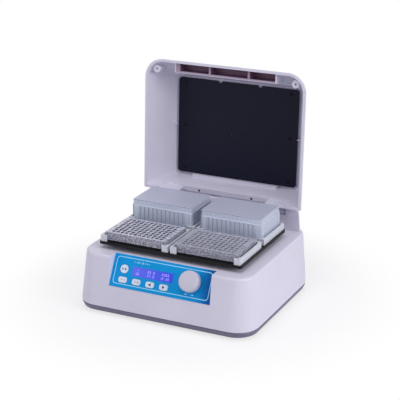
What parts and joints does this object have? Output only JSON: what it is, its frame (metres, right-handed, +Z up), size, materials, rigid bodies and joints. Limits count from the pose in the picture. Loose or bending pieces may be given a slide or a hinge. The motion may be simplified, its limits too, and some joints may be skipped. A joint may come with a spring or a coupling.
{
  "type": "microplate incubator",
  "caption": "Benchtop incubator with a deep hinged heated lid, an orbital shaking platform with plate nests and a sloping control panel.",
  "frame": {"origin": "middle of the space the part takes with its lid open, at the underside of the rubber feet", "axes": "+X to the right seen from the control panel, +Y to the rear, +Z up"},
  "size_m": [0.3574, 0.3518, 0.4185],
  "materials": {
    "housing": "satin moulded plastic, light lavender grey",
    "tray": "matt dark grey moulded plastic",
    "rubber": "matt black rubber",
    "screw": "zinc plated steel",
    "chassis": "bare steel sheet",
    "bearing": "machined housing",
    "motor": "dark painted motor can",
    "supply": "folded aluminium case",
    "board": "green circuit board",
    "overlay": "printed blue film",
    "display": "blue violet display window",
    "black_plastic": "black moulded plastic",
    "steel": "turned steel",
    "brass": "machined brass",
    "platform": "black anodised plate",
    "rail": "light grey moulded plastic",
    "heater": "black coated heater plate",
    "liner": "light lavender grey plastic",
    "foam": "cream foam",
    "deep": "translucent bluish polypropylene",
    "mat": "translucent sealing mat",
    "clear": "clear polystyrene",
    "key": "pale key cap",
    "knob": "satin pale grey plastic"
  },
  "bodies": {
    "base": {"base_housing": "housing", "hinge_housing": "housing", "panel_carrier": "housing", "bottom_tray": "tray", "rubber_feet": "rubber", "tray_screws": "screw", "chassis_plate": "chassis", "chassis_posts": "steel", "bearing_blocks": "bearing", "drive_motor": "motor", "motor_standoffs": "steel", "power_supply": "supply", "control_board": "board", "display_module": "board", "control_overlay": "overlay", "display_window": "display", "encoder_body": "black_plastic", "mains_inlet": "black_plastic", "switch_bezel": "black_plastic", "hinge_pins": "steel"},
    "lid": {"lid_shell": "housing", "lid_liner": "liner", "lid_insulation": "foam", "lid_heater_plate": "heater", "heater_screws": "black_plastic", "corner_screws": "black_plastic"},
    "main_crank": {"drive_crank": "steel", "counterweight": "brass"},
    "platform": {"platform_plate": "platform", "nest_rails": "rail", "nest_pads": "platform", "rail_screws": "screw"},
    "crank_front_left": {"idler_front_left": "steel"},
    "crank_front_right": {"idler_front_right": "steel"},
    "crank_rear_left": {"idler_rear_left": "steel"},
    "crank_rear_right": {"idler_rear_right": "steel"},
    "deep_left": {"deep_plate_left": "deep", "deep_mat_left": "mat"},
    "deep_right": {"deep_plate_right": "deep", "deep_mat_right": "mat"},
    "shallow_left": {"well_plate_left": "clear"},
    "shallow_right": {"well_plate_right": "clear"},
    "cover": {"plate_cover": "clear"},
    "rocker": {"power_rocker": "black_plastic"},
    "plunger": {"encoder_plunger": "steel"},
    "knob": {"encoder_shaft": "steel", "control_knob": "knob"},
    "key_start": {"start_key": "key"},
    "key_mode": {"mode_key": "key"},
    "key_set": {"set_key": "key"},
    "key_left": {"left_key": "key"},
    "key_right": {"right_key": "key"}
  },
  "joints": [
    {"name": "lid_hinge", "type": "hinge", "parent": "base", "child": "lid", "pos_m": [0, 0.11006, 0.1431], "axis": [-1, 0, 0], "range_deg": [-94, 0]},
    {"name": "drive_spin", "type": "hinge", "parent": "base", "child": "main_crank", "pos_m": [0, -0.03474, 0.1025], "axis": [0, 0, 1], "continuous": true},
    {"name": "platform_orbit", "type": "hinge", "parent": "main_crank", "child": "platform", "pos_m": [-0.001, -0.03474, 0.1205], "axis": [0, 0, 1], "continuous": true},
    {"name": "front_left_spin", "type": "hinge", "parent": "base", "child": "crank_front_left", "pos_m": [-0.105, -0.09974, 0.1025], "axis": [0, 0, 1], "continuous": true},
    {"name": "front_right_spin", "type": "hinge", "parent": "base", "child": "crank_front_right", "pos_m": [0.105, -0.09974, 0.1025], "axis": [0, 0, 1], "continuous": true},
    {"name": "rear_left_spin", "type": "hinge", "parent": "base", "child": "crank_rear_left", "pos_m": [-0.105, 0.03026, 0.1025], "axis": [0, 0, 1], "continuous": true},
    {"name": "rear_right_spin", "type": "hinge", "parent": "base", "child": "crank_rear_right", "pos_m": [0.105, 0.03026, 0.1025], "axis": [0, 0, 1], "continuous": true},
    {"name": "deep_left_lift", "type": "slide", "parent": "platform", "child": "deep_left", "axis": [0, 0, 1], "range_m": [0, 0.0085]},
    {"name": "deep_right_lift", "type": "slide", "parent": "platform", "child": "deep_right", "axis": [0, 0, 1], "range_m": [0, 0.0085]},
    {"name": "shallow_left_lift", "type": "slide", "parent": "platform", "child": "shallow_left", "axis": [0, 0, 1], "range_m": [0, 0.0085]},
    {"name": "shallow_right_lift", "type": "slide", "parent": "platform", "child": "shallow_right", "axis": [0, 0, 1], "range_m": [0, 0.0085]},
    {"name": "cover_lift", "type": "slide", "parent": "shallow_right", "child": "cover", "axis": [0, 0, 1], "range_m": [0, 0.007]},
    {"name": "power_rock", "type": "hinge", "parent": "base", "child": "rocker", "pos_m": [-0.056, 0.12006, 0.0525], "axis": [1, 0, 0], "range_deg": [0, 12]},
    {"name": "knob_push", "type": "slide", "parent": "base", "child": "plunger", "axis": [0, 0.8721, -0.4894], "range_m": [0, 0.0006], "stiffness_N_per_m": 4000, "springref_m": -0.0005},
    {"name": "knob_turn", "type": "hinge", "parent": "plunger", "child": "knob", "pos_m": [0.0555, -0.15978, 0.09224], "axis": [0, -0.8721, 0.4894], "continuous": true},
    {"name": "start_press", "type": "slide", "parent": "base", "child": "key_start", "axis": [0, 0.8721, -0.4894], "range_m": [0, 0.0005], "stiffness_N_per_m": 2000, "springref_m": -0.0005},
    {"name": "mode_press", "type": "slide", "parent": "base", "child": "key_mode", "axis": [0, 0.8721, -0.4894], "range_m": [0, 0.0005], "stiffness_N_per_m": 2000, "springref_m": -0.0005},
    {"name": "set_press", "type": "slide", "parent": "base", "child": "key_set", "axis": [0, 0.8721, -0.4894], "range_m": [0, 0.0005], "stiffness_N_per_m": 2000, "springref_m": -0.0005},
    {"name": "left_press", "type": "slide", "parent": "base", "child": "key_left", "axis": [0, 0.8721, -0.4894], "range_m": [0, 0.0005], "stiffness_N_per_m": 2000, "springref_m": -0.0005},
    {"name": "right_press", "type": "slide", "parent": "base", "child": "key_right", "axis": [0, 0.8721, -0.4894], "range_m": [0, 0.0005], "stiffness_N_per_m": 2000, "springref_m": -0.0005}
  ],
  "couplings": [
    {"joint": "platform_orbit", "follows": "drive_spin", "ratio": -1},
    {"joint": "front_left_spin", "follows": "drive_spin", "ratio": 1},
    {"joint": "front_right_spin", "follows": "drive_spin", "ratio": 1},
    {"joint": "rear_left_spin", "follows": "drive_spin", "ratio": 1},
    {"joint": "rear_right_spin", "follows": "drive_spin", "ratio": 1}
  ]
}
